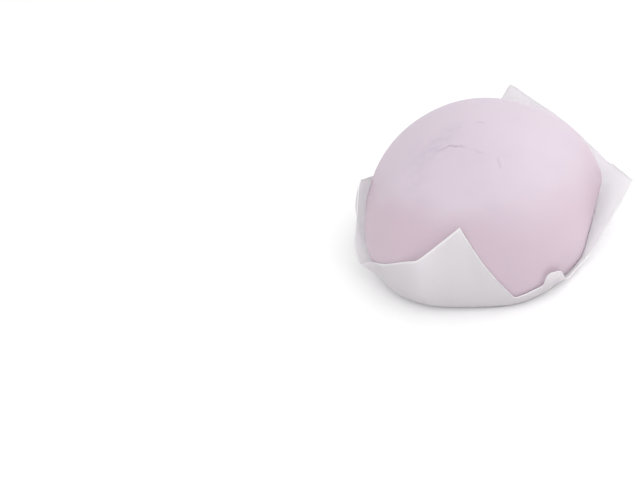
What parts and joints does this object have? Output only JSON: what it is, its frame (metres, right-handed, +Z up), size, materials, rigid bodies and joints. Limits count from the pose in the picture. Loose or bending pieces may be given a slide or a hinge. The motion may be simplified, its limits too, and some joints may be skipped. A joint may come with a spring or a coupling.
{
  "type": "steamed bun",
  "caption": "Round lilac taro bun with a smooth domed skin, sitting in the white paper square it was steamed on, its corners turned up round it.",
  "frame": {"origin": "middle of the paper's flat underside, on the surface that the bun stands on", "axes": "+Z up through the crown, -Y towards the paper corner that stands in front of the bun, +X towards the corner that leans outwards"},
  "size_m": [0.1053, 0.0972, 0.0561],
  "materials": {
    "skin": "smooth steamed dough, pale lilac, satin",
    "paper": "thin white steaming paper, matte, lets light through"
  },
  "bodies": {
    "root": {"bun": "skin", "paper": "paper"}
  },
  "joints": []
}
